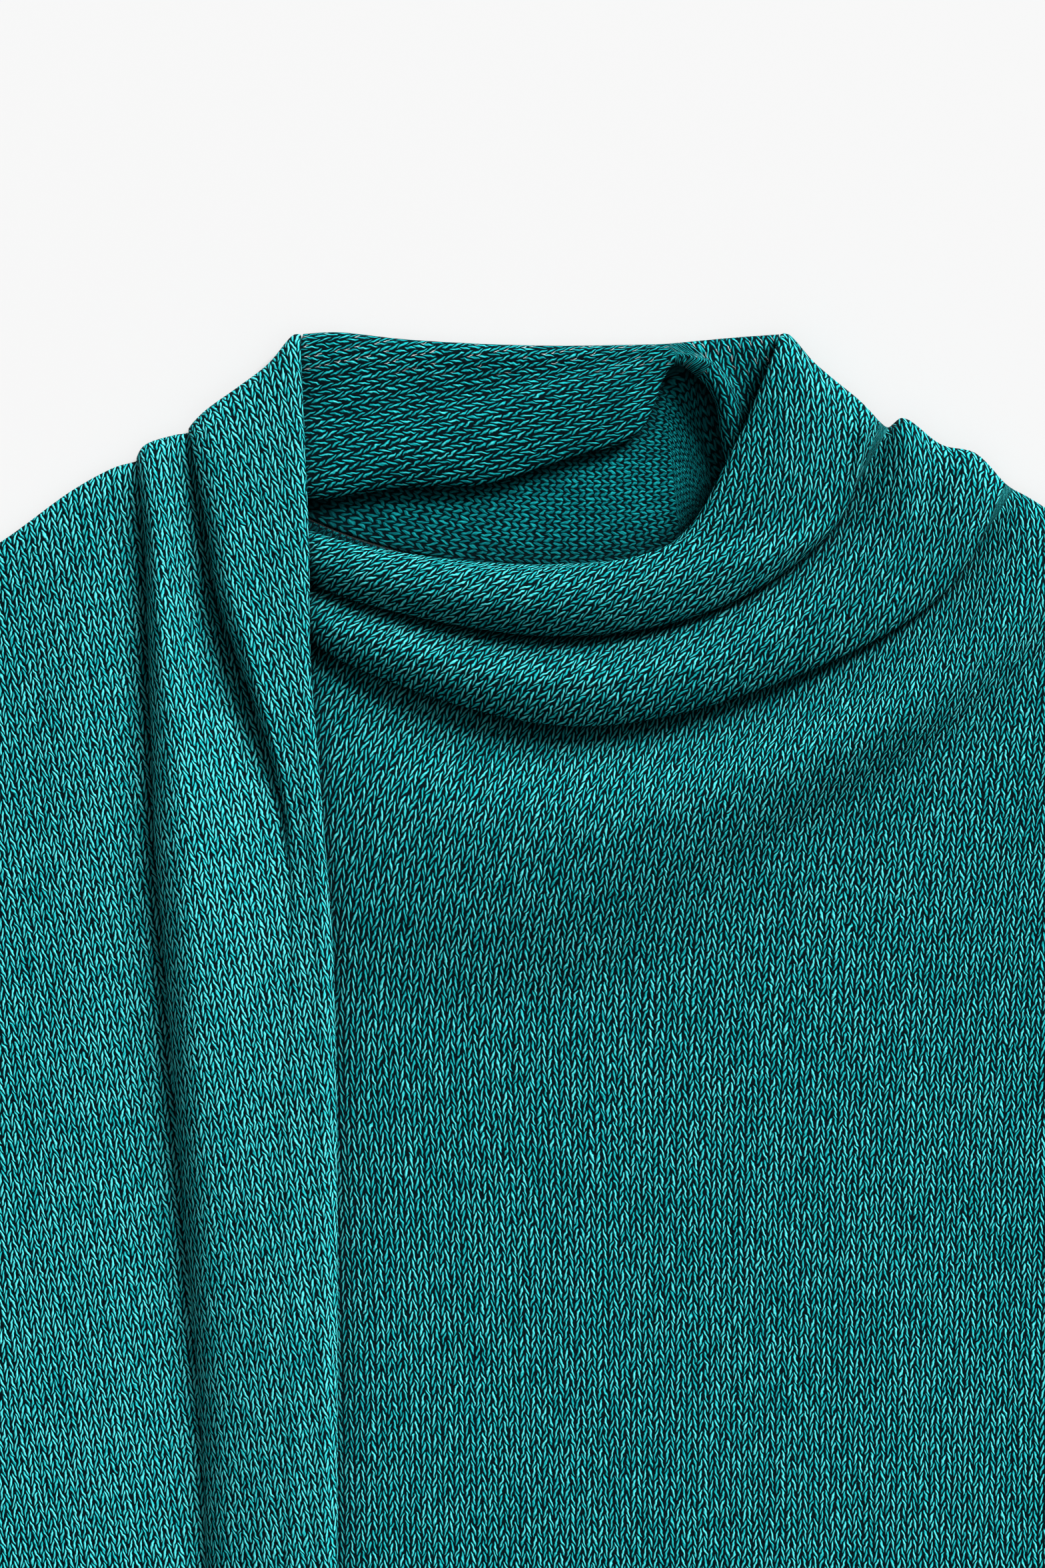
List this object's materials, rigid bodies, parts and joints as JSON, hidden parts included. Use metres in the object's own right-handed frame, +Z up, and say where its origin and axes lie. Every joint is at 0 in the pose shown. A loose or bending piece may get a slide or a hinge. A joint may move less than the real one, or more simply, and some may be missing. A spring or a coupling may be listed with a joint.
{
  "type": "high neck top",
  "caption": "Sleeveless knitted top laid flat, with a high doubled collar, a draped cowl across the front and a pleated panel folded over its left side.",
  "frame": {"origin": "middle of the overall box, on the surface that the top lies on", "axes": "+X to the viewer's right across the top, +Y from the hem to the collar, +Z up out of the surface, towards the viewer"},
  "size_m": [0.4641, 0.6301, 0.0201],
  "materials": {
    "back": "matt marled jersey knit",
    "collar": "matt marled jersey knit",
    "front_right": "matt marled jersey knit",
    "front_left": "matt marled jersey knit"
  },
  "bodies": {
    "root": {"back": "back", "collar": "collar", "front_right": "front_right", "front_left": "front_left"}
  },
  "joints": []
}
